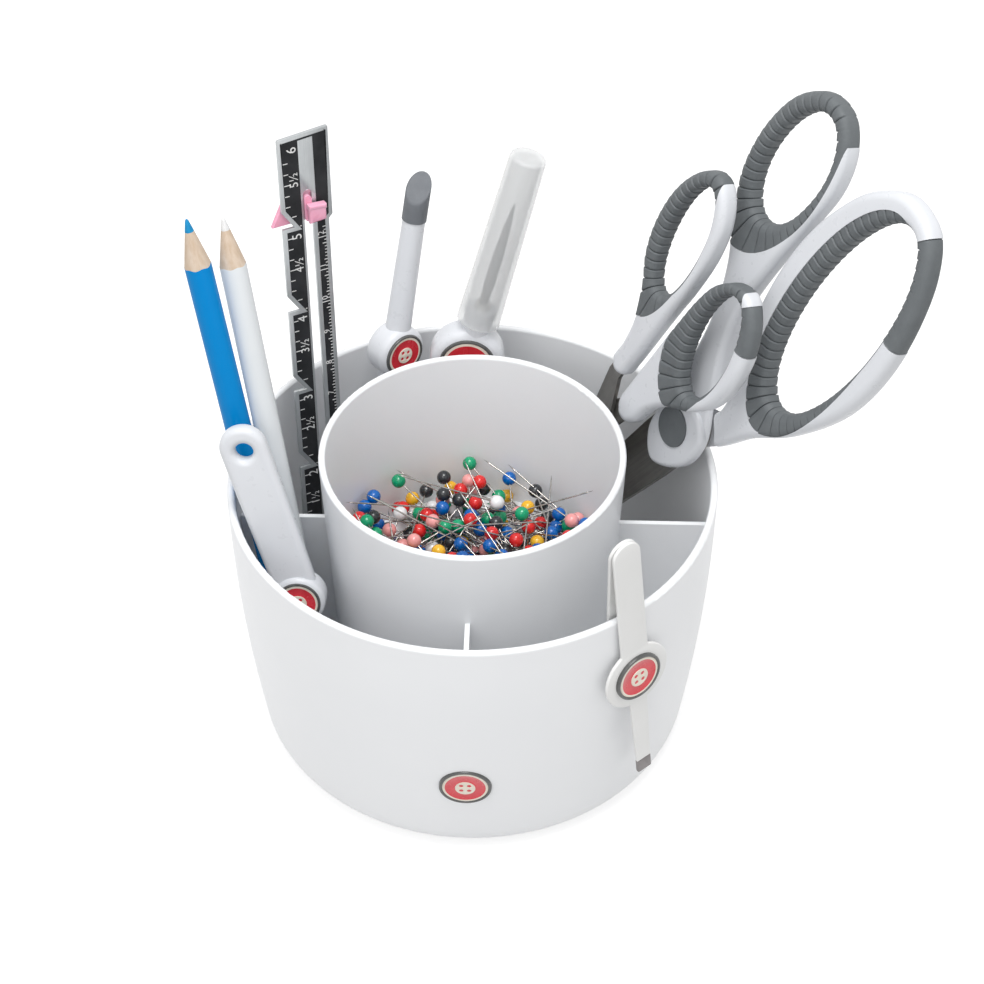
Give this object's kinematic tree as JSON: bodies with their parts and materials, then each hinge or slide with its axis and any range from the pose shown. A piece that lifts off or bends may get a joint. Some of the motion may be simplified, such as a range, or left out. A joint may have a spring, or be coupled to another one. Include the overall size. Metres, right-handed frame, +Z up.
{
  "type": "sewing desk organizer",
  "caption": "Round white desk organizer with a raised centre cup and divided ring, holding shears, scissors, pencils, gauge, brush, tweezers and loose pins.",
  "frame": {"origin": "centre of the bowl's flat underside", "axes": "+Z up out of the bowl, front with the badge towards -Y, scissors to +X"},
  "size_m": [0.1842, 0.13, 0.1883],
  "materials": {
    "white_shell": "satin white moulded plastic",
    "white_handle": "satin white moulded plastic",
    "grey_grip": "soft matt grey rubber",
    "grey_tip": "soft matt grey rubber",
    "badge_red": "glossy red with a cream button motif",
    "badge_rim": "dark grey ring",
    "steel": "ground and brushed",
    "pin_steel": "bright drawn wire",
    "tweezer_paint": "white enamel on spring steel",
    "tweezer_tip": "grey dipped ends",
    "gauge_metal": "printed black with a bare edge",
    "pink": "pink moulded plastic",
    "clear_cap": "frosted clear plastic",
    "blue_paint": "blue lacquer",
    "white_paint": "white lacquer",
    "pencil_wood": "bare sharpened wood",
    "blue_lead": "blue marking lead",
    "white_lead": "white marking lead",
    "bristle": "dark nylon bristles",
    "head_red": "glossy ball",
    "head_green": "glossy ball",
    "head_blue": "glossy ball",
    "head_yellow": "glossy ball",
    "head_pink": "glossy ball",
    "head_white": "glossy ball",
    "head_black": "glossy ball"
  },
  "bodies": {
    "organizer": {"outer_bowl": "white_shell", "divider_cup": "white_shell", "bowl_badge_bezel": "badge_rim", "bowl_badge_disc": "badge_red"},
    "pins": {"pin_shafts": "pin_steel", "pin_heads_red": "head_red", "pin_heads_green": "head_green", "pin_heads_blue": "head_blue", "pin_heads_yellow": "head_yellow", "pin_heads_pink": "head_pink", "pin_heads_white": "head_white", "pin_heads_black": "head_black"},
    "shears_front": {"shears_left_blade": "steel", "shears_left_handle": "white_handle", "shears_left_grip": "grey_grip", "shears_pivot_pin": "steel", "shears_pivot_cap": "grey_grip"},
    "shears_back": {"shears_right_blade": "steel", "shears_right_handle": "white_handle", "shears_right_grip": "grey_grip"},
    "snips_front": {"snips_left_blade": "steel", "snips_left_handle": "white_handle", "snips_left_grip": "grey_grip", "snips_pivot_pin": "steel", "snips_pivot_cap": "steel"},
    "snips_back": {"snips_right_blade": "steel", "snips_right_handle": "white_handle", "snips_right_grip": "grey_grip"},
    "gauge": {"gauge_rule": "gauge_metal"},
    "gauge_slider": {"gauge_slider": "pink"},
    "ripper": {"ripper_handle": "white_handle", "ripper_badge_bezel": "badge_rim", "ripper_badge_disc": "badge_red", "ripper_spike": "steel", "ripper_collar": "steel"},
    "ripper_cap": {"ripper_cap": "clear_cap"},
    "presser": {"presser_handle": "white_handle", "presser_tip": "grey_tip", "presser_badge_bezel": "badge_rim", "presser_badge_disc": "badge_red"},
    "brush": {"brush_handle": "white_handle", "brush_ferrule": "white_handle", "brush_bristles": "bristle", "brush_badge_bezel": "badge_rim", "brush_badge_disc": "badge_red"},
    "blue_pencil": {"blue_pencil_barrel": "blue_paint", "blue_pencil_wood": "pencil_wood", "blue_pencil_lead": "blue_lead"},
    "white_pencil": {"white_pencil_barrel": "white_paint", "white_pencil_wood": "pencil_wood", "white_pencil_lead": "white_lead"},
    "tweezers_outer": {"tweezers_outer_arm": "tweezer_paint", "tweezers_outer_tip": "tweezer_tip", "tweezers_badge_bezel": "badge_rim", "tweezers_badge_disc": "badge_red"},
    "tweezers_inner": {"tweezers_inner_arm": "tweezer_paint", "tweezers_inner_tip": "tweezer_tip"}
  },
  "joints": [
    {"name": "pins_lift", "type": "slide", "parent": "organizer", "child": "pins", "axis": [0, 0, 1], "range_m": [0, 0.06]},
    {"name": "shears_lift", "type": "slide", "parent": "organizer", "child": "shears_front", "axis": [0.492, -0.2905, 0.8207], "range_m": [0, 0.115]},
    {"name": "shears_open", "type": "hinge", "parent": "shears_front", "child": "shears_back", "pos_m": [0.05678, 0.01677, 0.08796], "axis": [0.8049, 0.511, -0.3016], "range_deg": [0, 2.5]},
    {"name": "snips_lift", "type": "slide", "parent": "organizer", "child": "snips_front", "axis": [0.3996, -0.1988, 0.8949], "range_m": [0, 0.115]},
    {"name": "snips_open", "type": "hinge", "parent": "snips_front", "child": "snips_back", "pos_m": [0.03339, 0.03102, 0.07564], "axis": [0.8312, 0.4904, -0.2621], "range_deg": [0, 2.5]},
    {"name": "gauge_lift", "type": "slide", "parent": "organizer", "child": "gauge", "axis": [-0.0172, 0.1068, 0.9941], "range_m": [0, 0.11]},
    {"name": "slider_slide", "type": "slide", "parent": "gauge", "child": "gauge_slider", "axis": [-0.0172, 0.1068, 0.9941], "range_m": [-0.115, 0.0015]},
    {"name": "ripper_lift", "type": "slide", "parent": "organizer", "child": "ripper", "axis": [0.2507, 0.0957, 0.9633], "range_m": [0, 0.105]},
    {"name": "ripper_cap_off", "type": "slide", "parent": "ripper", "child": "ripper_cap", "axis": [0.2507, 0.0957, 0.9633], "range_m": [0, 0.06]},
    {"name": "presser_lift", "type": "slide", "parent": "organizer", "child": "presser", "axis": [0.1429, 0.212, 0.9668], "range_m": [0, 0.11]},
    {"name": "brush_lift", "type": "slide", "parent": "organizer", "child": "brush", "axis": [0, 0, 1], "range_m": [0, 0.11]},
    {"name": "blue_pencil_lift", "type": "slide", "parent": "organizer", "child": "blue_pencil", "axis": [-0.154, 0.135, 0.9788], "range_m": [0, 0.105]},
    {"name": "white_pencil_lift", "type": "slide", "parent": "organizer", "child": "white_pencil", "axis": [-0.1494, 0.2249, 0.9629], "range_m": [0, 0.105]},
    {"name": "tweezers_lift", "type": "slide", "parent": "organizer", "child": "tweezers_outer", "axis": [-0.0623, -0.0505, 0.9968], "range_m": [0, 0.08]},
    {"name": "tweezers_squeeze", "type": "hinge", "parent": "tweezers_outer", "child": "tweezers_inner", "pos_m": [0.03869, -0.05102, 0.10842], "axis": [0.7746, 0.6273, 0.0802], "range_deg": [-0.5, 1.5]}
  ]
}
